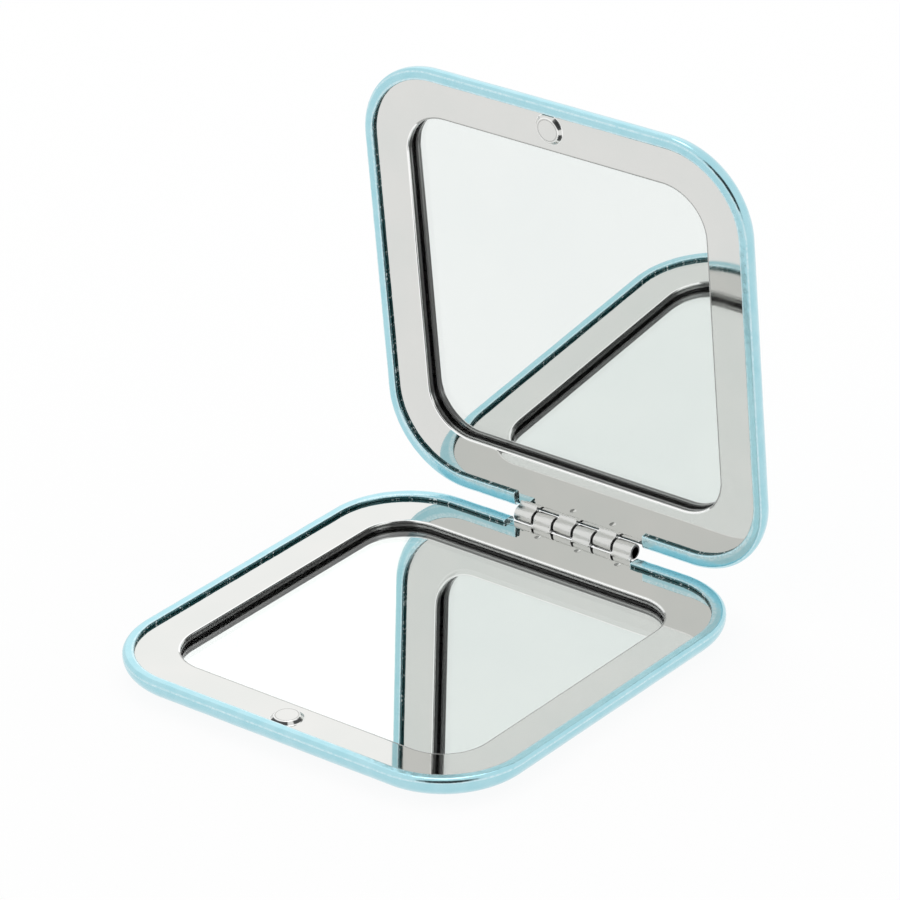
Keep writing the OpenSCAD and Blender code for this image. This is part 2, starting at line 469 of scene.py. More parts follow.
class Graph:
    """The node tree of one material."""

    def __init__(self, name: str) -> None:
        """Starts a material with its shader and output.

        Args:
            name: Name of the material.
        """
        self.material = bpy.data.materials.new(name)
        self.material.use_nodes = True
        self.nodes = self.material.node_tree.nodes
        self.links = self.material.node_tree.links

    def feed(self, node: bpy.types.Node, inputs: dict[str | int, Any]) -> bpy.types.Node:
        """Fills a node's inputs.

        Args:
            node: The node.
            inputs: Values or sockets by the input's number or name, with _ for a blank.

        Returns:
            The same node.
        """
        for key, value in inputs.items():
            socket = node.inputs[key if isinstance(key, int) else key.replace("_", " ")]
            if isinstance(value, Socket):
                self.links.new(value, socket)
            else:
                socket.default_value = value
        return node

    def add(
        self, kind: str, settings: dict[str, Any] | None = None, *numbered: Any, **named: Any
    ) -> bpy.types.Node:
        """Adds a node.

        Args:
            kind: Blender's name of the node, without ShaderNode.
            settings: Its own settings.
            *numbered: Values or sockets for its first inputs.
            **named: Values or sockets for its inputs by name.

        Returns:
            The new node.
        """
        node = self.nodes.new(f"ShaderNode{kind}")
        for key, value in (settings or {}).items():
            setattr(node, key, value)
        return self.feed(node, {**dict(enumerate(numbered)), **named})

    def shade(self, **inputs: Any) -> None:
        """Sets values or links sockets on the material's own shader."""
        self.feed(self.nodes["Principled BSDF"], inputs)

    def show(self, shader: Socket) -> None:
        """Makes a shader what the material shows."""
        self.feed(self.nodes["Material Output"], {"Surface": shader})

    def noise(
        self, size: float, detail: float = 2, distortion: float = 0, stretch: Point = (1, 1, 1)
    ) -> Socket:
        """Clouds of one size.

        Args:
            size: Size of the clouds.
            detail: Finer levels in them.
            distortion: How far they are pulled out of shape.
            stretch: How many times finer they run along each axis.

        Returns:
            The socket with their height, from 0 to 1.
        """
        place = self.add("TexCoord").outputs["Object"]
        place = self.add("Mapping", Vector=place, Scale=[s / MM for s in stretch]).outputs["Vector"]
        clouds = self.add(
            "TexNoise", Vector=place, Scale=1 / size, Detail=detail, Distortion=distortion
        )
        return clouds.outputs["Fac"]

    def fit(self, share: Socket, low: Pair, high: Pair, way: str = "LINEAR") -> Socket:
        """A number that goes from one value to another while a share does the same.

        Args:
            share: The share.
            low: The share where it starts, and the number there.
            high: The share where it ends, and the number there.
            way: Blender's name of the curve between them.

        Returns:
            The socket with the number.
        """
        return self.add(
            "MapRange", {"interpolation_type": way}, Value=share, From_Min=low[0], From_Max=high[0],
            To_Min=low[1], To_Max=high[1],
        ).outputs["Result"]

    def spread(self, clouds: Socket, low: float, high: float) -> Socket:
        """A number that follows clouds."""
        return self.fit(clouds, (CLOUD_LOW, low), (CLOUD_HIGH, high))

    def blend(self, clouds: Socket, low: Point, high: Point) -> Socket:
        """A colour that follows clouds.

        Args:
            clouds: Their height.
            low: The colour where they are low.
            high: The colour where they are high.

        Returns:
            The socket with the colour.
        """
        ramp = self.add("ValToRGB", Fac=clouds)
        ends = ((CLOUD_LOW, low), (CLOUD_HIGH, high))
        for element, (place, colour) in zip(ramp.color_ramp.elements, ends):
            element.position = place
            element.color = (*colour, 1)
        return ramp.outputs["Color"]

    def mark(self, name: str) -> Socket:
        """The number stored on the piece under a name."""
        return self.add("Attribute", {"attribute_name": name}).outputs["Fac"]

    def reckon(
        self, operation: str, first: Socket | float, second: Socket | float, clamp: bool = True
    ) -> Socket:
        """Two numbers reckoned into one, kept between 0 and 1 unless clamp is off."""
        settings = {"operation": operation, "use_clamp": clamp}
        return self.add("Math", settings, first, second).outputs["Value"]

    def over(self, share: Socket, under: Socket, colour: Point) -> Socket:
        """A colour laid over another by a share."""
        mix = self.add("Mix", {"data_type": "RGBA"})
        return self.feed(mix, {0: share, 6: under, 7: (*colour, 1)}).outputs[2]

    def between(self, share: Socket, low: Socket | float, high: float) -> Socket:
        """A number that goes from one to another by a share from 0 to 1."""
        mix = self.add("Mix", {"data_type": "FLOAT"})
        return self.feed(mix, {0: share, 2: low, 3: high}).outputs[0]

    def laid(self, share: Socket, under: Socket, over: Socket) -> Socket:
        """A shader laid over another by a share."""
        return self.add("MixShader", None, share, under, over).outputs["Shader"]

    def light(self, level: float, strength: Socket | float = 1.0) -> Socket:
        """A shader that gives light of one grey level."""
        colour = (level, level, level, 1)
        return self.add("Emission", Color=colour, Strength=strength).outputs["Emission"]

    def bump(self, height: Socket, depth: float, under: Socket | None = None) -> Socket:
        """Relief from clouds.

        Args:
            height: The clouds' height.
            depth: Depth of the relief.
            under: Relief that it lies on.

        Returns:
            The socket with the normal.
        """
        relief = self.add("Bump", Height=height, Strength=1.0, Distance=depth * MM)
        if under is not None:
            self.feed(relief, {"Normal": under})
        return relief.outputs["Normal"]


@dataclass(frozen=True)
class Finish:
    """A finish, made a material when it is first used."""

    name: str

    def cover(self, piece: bpy.types.Object) -> None:
        """Makes this finish the piece's only material.

        Args:
            piece: The piece that it covers.
        """
        found = bpy.data.materials.get(self.name)
        if found is None:
            graph = Graph(self.name)
            self.build(graph)
            found = graph.material
        piece.data.materials.clear()
        piece.data.materials.append(found)

    def build(self, graph: Graph) -> None:
        """Fills the node tree; each finish has its own."""
        raise NotImplementedError


@dataclass(frozen=True)
class FilmFinish(Finish):
    """Metallised film under clear lacquer, creased where it is drawn over an edge.

    Painted highlights run in broken dashes along the rim's edges, cut ends and
    tip. The crevice under the rim's tip has painted shade, with a few painted glints.
    """

    name: str = "turquoise_film"
    deep: Point = (0.38, 0.675, 0.75)
    light: Point = (0.445, 0.715, 0.785)
    # painted highlight colour, for the fold mark and the glints
    drawn: Point = (0.80, 0.93, 0.96)
    # painted shade colour, for the crevice mark; the next number makes it less metallic there
    painted_shade: Point = (0.018, 0.12, 0.135)
    painted_shade_metal: float = 0.25
    tint: Clouds = (2.5, 3)
    creases: Clouds = (0.55, 3, 0.6)
    crease_depth: float = 0.006
    grain: Clouds = (0.12, 1)
    grain_depth: float = 0.0008
    dashes: Clouds = (0.4, 4, 0.5)
    dash_shares: Pair = (0.1, 0.95)
    glints: Clouds = (0.55, 2, 0.6)
    glint_shares: Pair = (-8.0, 2.4)
    smears: Clouds = (0.8, 2)
    gloss: Pair = (0.15, 0.22)

    def build(self, graph: Graph) -> None:
        """Builds colour, gloss and creases.

        Args:
            graph: The material's nodes.
        """
        colour = graph.blend(graph.noise(*self.tint), self.deep, self.light)
        # painted highlight: the fold mark, broken into dashes
        dashes = graph.spread(graph.noise(*self.dashes), *self.dash_shares)
        shine = graph.reckon("MULTIPLY", graph.mark("fold"), dashes)
        colour = graph.over(shine, colour, self.drawn)
        # painted shade in the crevice, with painted glints in the highlight colour
        painted_shade = graph.mark("crevice")
        colour = graph.over(painted_shade, colour, self.painted_shade)
        glints = graph.spread(graph.noise(*self.glints), *self.glint_shares)
        shine = graph.reckon("MULTIPLY", painted_shade, glints)
        colour = graph.over(shine, colour, self.drawn)
        creases = graph.bump(graph.noise(*self.creases), self.crease_depth)
        graph.shade(
            Base_Color=colour,
            Metallic=graph.between(painted_shade, 1.0, self.painted_shade_metal),
            Roughness=graph.spread(graph.noise(*self.smears), *self.gloss),
            Coat_Weight=0.3,
            Coat_Roughness=0.06,
            Coat_IOR=1.5,
            Normal=graph.bump(graph.noise(*self.grain), self.grain_depth, creases),
        )


@dataclass(frozen=True)
class ChromeFinish(Finish):
    """Bright chrome on stamped sheet, with faint hairlines from handling.

    Highlights are painted bright on the turned edges, and shade is painted dark in
    the flange and other hollows, where the surface is also less metallic and rougher.
    """

    name: str = "bright_chrome"
    cool: Point = (0.695, 0.705, 0.685)
    warm: Point = (0.72, 0.72, 0.70)
    # painted highlight colour, laid where the gleam mark lies
    edges: Point = (0.97, 0.97, 0.96)
    # painted shade colour, laid where the shade mark lies, less metallic there
    painted_dark: Point = (0.06, 0.062, 0.062)
    painted_dark_metal: float = 0.1
    tint: Clouds = (9, 2)
    hairlines: Clouds = (0.15, 1, 0, (0.05, 1, 1))
    hairline_depth: float = 0.00004
    waves: Clouds = (6, 1)
    wave_depth: float = 0.0006
    smears: Clouds = (3, 3)
    gloss: Pair = (0.015, 0.04)
    matt: tuple[tuple[str, float], ...] = (("shade", 0.45), ("rolled", 0.28))

    def build(self, graph: Graph) -> None:
        """Builds colour, gloss and hairlines.

        Args:
            graph: The material's nodes.
        """
        colour = graph.blend(graph.noise(*self.tint), self.cool, self.warm)
        # painted highlights, then painted shade
        colour = graph.over(graph.mark("gleam"), colour, self.edges)
        colour = graph.over(graph.mark("shade"), colour, self.painted_dark)
        gloss = graph.spread(graph.noise(*self.smears), *self.gloss)
        for name, level in self.matt:
            gloss = graph.between(graph.mark(name), gloss, level)
        hairlines = graph.bump(graph.noise(*self.hairlines), self.hairline_depth)
        graph.shade(
            Base_Color=colour,
            Metallic=graph.between(graph.mark("shade"), 1.0, self.painted_dark_metal),
            Roughness=gloss,
            Normal=graph.bump(graph.noise(*self.waves), self.wave_depth, hairlines),
        )


@dataclass(frozen=True)
class GlassFinish(Finish):
    """Clear float glass with a breath of green, and faint smears."""

    name: str = "mirror_glass"
    green: Point = (0.982, 0.996, 0.990)
    clear: Point = (0.988, 1.0, 0.994)
    tint: Clouds = (12, 2)
    smears: Clouds = (5, 3, 0.4)
    gloss: Pair = (0.0, 0.004)

    def build(self, graph: Graph) -> None:
        """Builds tint, gloss and smears.

        Args:
            graph: The material's nodes.
        """
        graph.shade(
            Base_Color=graph.blend(graph.noise(*self.tint), self.green, self.clear),
            Transmission_Weight=1.0,
            IOR=1.52,
            Roughness=graph.spread(graph.noise(*self.smears), *self.gloss),
        )


@dataclass(frozen=True)
class SilverFinish(Finish):
    """The silver coat behind the glass."""

    name: str = "mirror_silver"
    dull: Point = (0.870, 0.893, 0.885)
    clear: Point = (0.885, 0.905, 0.895)
    tint: Clouds = (15, 1)
    smears: Clouds = (8, 2)
    gloss: Pair = (0.0, 0.003)

    def build(self, graph: Graph) -> None:
        """Builds colour and gloss.

        Args:
            graph: The material's nodes.
        """
        graph.shade(
            Base_Color=graph.blend(graph.noise(*self.tint), self.dull, self.clear),
            Metallic=1.0,
            Roughness=graph.spread(graph.noise(*self.smears), *self.gloss),
        )


@dataclass(frozen=True)
class GrainedFinish(Finish):
    """A finish with one fine grain, which shows in its gloss and in its relief."""

    dark: Point
    pale: Point
    tint: Clouds
    grain: Clouds
    grain_depth: float
    gloss: Pair
    metal: float = 1.0

    def build(self, graph: Graph) -> None:
        """Builds colour, gloss and grain.

        Args:
            graph: The material's nodes.
        """
        grain = graph.noise(*self.grain)
        graph.shade(
            Base_Color=graph.blend(graph.noise(*self.tint), self.dark, self.pale),
            Metallic=self.metal,
            Roughness=graph.spread(grain, *self.gloss),
            Normal=graph.bump(grain, self.grain_depth),
        )


@dataclass(frozen=True)
class SteelFinish(GrainedFinish):
    """Drawn steel wire, with die lines along it."""

    name: str = "drawn_steel"
    dark: Point = (0.38, 0.375, 0.36)
    pale: Point = (0.48, 0.47, 0.455)
    tint: Clouds = (2, 2)
    grain: Clouds = (0.06, 2, 0, (0.02, 1, 1))
    grain_depth: float = 0.002
    gloss: Pair = (0.18, 0.34)


@dataclass(frozen=True)
class TinplateFinish(GrainedFinish):
    """Tinplate with its soft rolled grain."""

    name: str = "tinplate"
    dark: Point = (0.56, 0.57, 0.57)
    pale: Point = (0.70, 0.70, 0.69)
    tint: Clouds = (1.2, 3)
    grain: Clouds = (0.1, 2, 0, (0.08, 1, 1))
    grain_depth: float = 0.003
    gloss: Pair = (0.22, 0.4)


@dataclass(frozen=True)
class CardFinish(GrainedFinish):
    """Grey board with long fibres and flecks."""

    name: str = "grey_board"
    dark: Point = (0.27, 0.25, 0.22)
    pale: Point = (0.40, 0.38, 0.34)
    tint: Clouds = (0.5, 4, 1)
    grain: Clouds = (0.3, 4, 1.5, (0.25, 1, 1))
    grain_depth: float = 0.03
    gloss: Pair = (0.82, 0.95)
    metal: float = 0.0


@dataclass(frozen=True)
class MagnetFinish(GrainedFinish):
    """Nickel plating on a disc magnet, a little warm and finely matt."""

    name: str = "nickel_plating"
    dark: Point = (0.60, 0.57, 0.52)
    pale: Point = (0.68, 0.65, 0.60)
    tint: Clouds = (0.7, 2)
    grain: Clouds = (0.08, 2)
    grain_depth: float = 0.001
    gloss: Pair = (0.2, 0.32)


@dataclass
class FilmSkin:
    """The film skin of one half, from its flat floor to the fold under the rim.

    The fields from end_shines on say where highlights are painted on the cut ends,
    the folds and the tip, where shade is painted in the crevice, and where the film wrinkles.
    """

    path: RoundSquare = RoundSquare(35.0, 13.8, 1.0)
    thickness: float = 0.15
    edge_run: float = 5.2
    edge_drop: float = 3.3
    edge_r: float = 0.7
    rim_w: float = 1.8
    rim_lag: float = 0.6
    fold_r: float = 0.3
    height: float = 4.1
    floor_inset: float = 0.4
    cut_level: float = 3.0
    cut_starts: Pair = (-11.3, -11.65)
    cut_end: float = 12.4
    end_wrap: float = 0.1
    end_bevel: float = 0.11
    end_reach: float = 3.0
    end_depth: float = 0.6
    # end_shines to tip_shine_w place painted highlights; cut_clear to crevice_fade place painted
    # shade
    end_shines: Pair = (0.3, 1.0)
    end_shine_from: float = 0.1
    fold_turns: Pair = (14.0, 62.0)
    fold_spread: float = 16.0
    tip_shine: float = 0.8
    tip_shine_w: float = 0.12
    cut_clear: float = 0.3
    cut_dark_w: float = 0.12
    crevice_inset: float = 0.2
    crevice_top: float = 1.75
    crevice_fade: float = 0.4
    rim_depth: float = 0.4
    rim_fade: float = 0.6
    edge_fade: float = 1.5
    floor_clear: float = 0.05
    pitch: float = 0.3
    corner_steps: int = 72
    wrinkles: tuple[tuple[str, float, float, int], ...] = (
        ("rim", 0.9, 0.05, 2), ("edge", 5.0, 0.05, 1), ("ends", 0.7, 0.16, 2)
    )

    @property
    def tip_low(self) -> float:
        """Level of the fold's underside, at the rim's tip."""
        return self.height - 2 * self.fold_r

    def profile(self) -> list[Point]:
        """The skin's section, from the floor outwards, up and in under the rim.

        Returns:
            Points as distance from the outline, outwards, and height.
        """
        bend = (-self.edge_run, self.edge_drop)
        cut = math.degrees(math.asin((self.cut_level - self.edge_drop) / self.edge_drop))
        round_top = (-self.edge_r, self.height - self.edge_r)
        tip = (self.fold_r - self.rim_w, self.height - self.fold_r)
        inner = (-self.edge_r - self.thickness, self.tip_low)
        return joined(
            arc(bend, self.edge_run, self.edge_drop, -90, cut, 20),
            arc(bend, self.edge_run, self.edge_drop, cut, 0, 3),
            arc(round_top, self.edge_r, self.edge_r, 0, 90, 8),
            straight((-self.edge_r, self.height), (tip[0], self.height), 4),
            arc(tip, self.fold_r, self.fold_r, 90, 270, 10),
            straight((tip[0], self.tip_low), inner, 2),
        )

    def lag(self, p: Vector) -> float:
        """How much of the rim's lag a point takes: none at the outline, all at the tip.

        Args:
            p: The point, drawn as the base's.

        Returns:
            A share from 0 to 1.
        """
        if p.z < self.tip_low - LOOSE:
            return 0.0
        start = self.edge_r + (self.thickness if p.z < self.tip_low + LOOSE else 0)
        share = (-self.path.beyond(p) - start) / (self.rim_w - self.fold_r - start)
        return round(min(max(share, 0.0), 1.0), 3)

    def shape(self) -> Workpiece:
        """Sweeps the section, widens the rim on the hinge's side and fills the floor.

        Returns:
            The skin as a single sheet, without the hinge's cut-out.
        """
        starts = [start + self.end_wrap for start in self.cut_starts]
        stops = sorted((*starts, self.cut_end - self.end_wrap))
        work = self.path.sweep("base_film", self.profile(), self.pitch, self.corner_steps, stops)
        run, top = self.path.run, self.path.run + self.path.back

        def behind(v: Any, share: float) -> bool:
            """Whether a vertex with this share of the lag lies on the back side."""
            return middle(v).y > top - NEAR and self.lag(middle(v)) == share

        def beside(v: Any, share: float) -> bool:
            """Whether a vertex with this share of the lag lies on the left or right side."""
            return NEAR - run < middle(v).y < top - NEAR and self.lag(middle(v)) == share

        with work.edit():
            for share in (1.0, 0.75, 0.5, 0.25):
                out = -self.rim_lag * share
                work.pick(Part.VERTS, lambda v: beside(v, share))
                stretch = (1, 1 + out / (run + top), 1)
                bpy.ops.transform.resize(value=stretch, center_override=(0, -run * MM, 0))
                work.pick(Part.VERTS, lambda v: behind(v, share))
                bpy.ops.transform.translate(value=(0, out * MM, 0))
        with work.edit():
            work.pick(Part.EDGES, lambda e: e.is_boundary and middle(e).z < LOOSE)
            bpy.ops.mesh.edge_face_add()
            bpy.ops.mesh.inset(thickness=self.floor_inset * MM)
        return work

    def open(self, work: Workpiece, left: float, right: float) -> None:
        """Opens the hinge's cut-out and folds the film in over the rim's ends.

        Args:
            work: The whole skin, drawn as the base's.
            left: Where the cut-out begins.
            right: Where it ends.
        """

        def at_cut(e: Any, *places: float) -> bool:
            """Whether an edge of the rim lies in one of the cut's ends."""
            aways = (min(abs(v.co.x / MM - x) for x in places) for v in e.verts)
            return middle(e).z > self.cut_level and max(aways) < NEAR

        def corner(e: Any) -> bool:
            """Whether the film turns over an edge of a filled end."""
            turned = not e.is_boundary and e.calc_face_angle(0) > CREASED
            return turned and middle(e).y > HINGE_SIDE and at_cut(e, left, right)

        with work.edit():
            work.pick(
                Part.FACES,
                lambda f: middle(f).z > self.cut_level
                and middle(f).y > HINGE_SIDE
                and left < middle(f).x < right,
            )
            bpy.ops.mesh.delete(type="FACE")
            for x in (left, right):
                work.pick(Part.EDGES, lambda e: e.is_boundary and at_cut(e, x))
                bpy.ops.mesh.edge_face_add()
        with work.edit(select=True):
            bpy.ops.mesh.normals_make_consistent(inside=False)
        work.bevel(corner, self.end_bevel, 3)

    def mark(self, work: Workpiece, left: float, right: float, fold_turn: float) -> None:
        """Marks the places that wrinkle, and where highlights and shade are painted.

        Args:
            work: The skin, drawn as the base's, before it is pushed.
            left: Where the hinge's cut-out begins.
            right: Where it ends.
            fold_turn: Where the painted highlight lies on the rim's outer round, in degrees.
        """
        low = self.tip_low

        def ends(p: Vector) -> float:
            """Weight near the cut ends of the rim.

            Args:
                p: The point.

            Returns:
                1 at the ends, and less further away.
            """
            if p.y < HINGE_SIDE or p.z < self.cut_level - self.end_depth:
                return 0
            away = left - p.x if p.x <= left + LOOSE else p.x - right
            return 0 if away < -LOOSE else 1 - away / self.end_reach

        def in_end(p: Vector) -> bool:
            """Whether a point lies in the filled end of the rim or on its bevel."""
            away = min(abs(p.x - left), abs(p.x - right))
            return ends(p) > 0 and away < self.end_bevel + LOOSE

        def fold(p: Vector) -> float:
            """How much painted highlight a point takes.

            Args:
                p: The point.

            Returns:
                A share from 0 to 1.
            """
            beyond = self.path.beyond(p)
            if in_end(p):
                return self.end_shines[p.z > low + self.end_shine_from]
            if p.z > low + LOOSE and beyond > -self.edge_r - LOOSE:
                turn = math.atan2(p.z - self.height + self.edge_r, beyond + self.edge_r)
                return max(0.0, 1 - abs(math.degrees(turn) - fold_turn) / self.fold_spread)
            if self.lag(p) > 0.9 and p.z > self.height - self.tip_shine_w:
                return self.tip_shine
            return 0.0

        def crevice(p: Vector) -> float:
            """How much painted shade a point takes, under the rim's tip and along the cut-out.

            Args:
                p: The point.

            Returns:
                A share from 0 to 1.
            """
            if in_end(p):
                return 0.0
            if p.y > HINGE_SIDE and left + self.cut_clear < p.x < right - self.cut_clear:
                return float(p.z > self.cut_level - self.cut_dark_w)
            inside = self.path.beyond(p) < -self.edge_r - self.crevice_inset
            if inside and low - LOOSE < p.z < self.height:
                depth = low + self.crevice_top * self.fold_r - p.z
                return max(0.0, min(1.0, depth / (self.crevice_fade * self.fold_r)))
            return 0.0

        work.group("rim", lambda p: (p.z - low + self.rim_depth) / self.rim_fade)
        work.group("edge", lambda p: p.z / self.edge_fade if p.z > self.floor_clear else 0)
        work.group("ends", ends)
        # painted highlight on the folds, the tip and the cut ends, and painted shade in the crevice
        work.paint("fold", fold)
        work.paint("crevice", crevice)

    def finish(self, work: Workpiece, half: Half) -> None:
        """Wrinkles the skin, gives it its thickness and dresses it.

        Args:
            work: The skin in its place.
            half: The half that it covers.
        """
        for wrinkle in self.wrinkles:
            work.wrinkle(*wrinkle)
        work.modify("SOLIDIFY", thickness=self.thickness * MM, offset=-1, use_even_offset=False)
        work.smooth(50)
        work.dress(FilmFinish(), half, "skin", f"{half.value}_skin")

    def build(self) -> None:
        """Builds both skins from one sheet."""
        sheet = self.shape()
        skins = (sheet, sheet.copy("lid_film"))
        for half, work, start, turn in zip(Half, skins, self.cut_starts, self.fold_turns):
            edges = (start + self.end_wrap, self.cut_end - self.end_wrap)
            self.open(work, *edges)
            self.mark(work, *edges, turn)
            if half is Half.LID:
                work.into_lid()
            self.finish(work, half)


@dataclass
class HingeKnuckle:
    """One knuckle: the plate's tongue, rolled round the pin."""

    outer_r: float = 1.25
    root_r: float = 0.8
    sheet_t: float = 0.4
    face_y: float = -0.65
    tongue: float = 2.5
    seam_angle: float = 250
    seam_w: float = 0.12
    width: float = 3.3333
    pitch: float = 3.7333
    first_x: float = -11.0
    sink: float = 0.005
    edge_bevel: float = 0.2
    bevel_clear: float = 0.15
    bevel_reach: float = 2.0

    def section(self, bore_r: float) -> list[Point]:
        """The knuckle's section round the axis, as a closed line.

        Args:
            bore_r: Radius of the bore round the pin.

        Returns:
            Points as distance from the axis, away from the plate, and height over it.
        """
        hollow_y = self.face_y + self.root_r
        reach = self.outer_r + self.root_r
        hollow_x = -math.sqrt(reach**2 - hollow_y**2)
        meet = math.degrees(math.atan2(-hollow_y, -hollow_x))
        outer_gap, inner_gap = (
            math.degrees(self.seam_w / 2 / r) for r in (self.outer_r, bore_r)
        )
        seam = self.seam_angle
        under = self.face_y - self.sheet_t
        leave = 180 + math.degrees(math.asin(-under / self.outer_r))
        top = self.face_y - self.sink
        return joined(
            [(-self.tongue, top), (hollow_x, top)],
            arc((hollow_x, hollow_y - self.sink), self.root_r, self.root_r, -90, meet, 8),
            arc((0, 0), self.outer_r, self.outer_r, 180 + meet, seam - 360 + outer_gap, 40),
            arc((0, 0), bore_r, bore_r, seam - 360 + inner_gap, seam - inner_gap, 36),
            arc((0, 0), self.outer_r, self.outer_r, seam - outer_gap, leave, 2),
            [(-self.tongue, under + self.sink)],
        )

    def shape(self, bore_r: float) -> Workpiece:
        """Draws the section, fills it, extrudes it and breaks its edges.

        Args:
            bore_r: Radius of the bore.

        Returns:
            The knuckle at the row's first place.
        """
        points = [(self.first_x, AXIS.y + x, AXIS.z + y) for x, y in self.section(bore_r)]
        work = Workpiece.from_point("knuckle", points[0])
        with work.edit(select=True):
            work.draw(points)
            bpy.ops.mesh.select_all(action="SELECT")
            bpy.ops.mesh.edge_face_add()
            bpy.ops.mesh.extrude_region_move(
                TRANSFORM_OT_translate={"value": (self.width * MM, 0, 0)}
            )
            bpy.ops.mesh.select_all(action="SELECT")
            bpy.ops.mesh.normals_make_consistent(inside=False)
        last_x = self.first_x + self.width

        def rim(edge: Any) -> bool:
            """Whether an edge runs round the barrel at an end of the knuckle.

            Args:
                edge: The edge.

            Returns:
                True if it does.
            """
            place = middle(edge)
            at_end = min(abs(place.x - self.first_x), abs(place.x - last_x)) < NEAR
            outside = AXIS.away(place) > bore_r + self.bevel_clear
            barrel = outside and place.y > AXIS.y - self.bevel_reach
            return barrel and at_end and span(edge, 0) < NEAR

        work.bevel(rim, self.edge_bevel, 2)
        return work

    def row(self, first: int, bore_r: float) -> list[Workpiece]:
        """Every second knuckle of the row.

        Args:
            first: Number of the first one.
            bore_r: Radius of the bore.

        Returns:
            Three knuckles in their places, drawn as the base's.
        """
        master = self.shape(bore_r).shift(first * self.pitch)
        return [master, *(master.copy("knuckle").shift(2 * self.pitch * i) for i in (1, 2))]


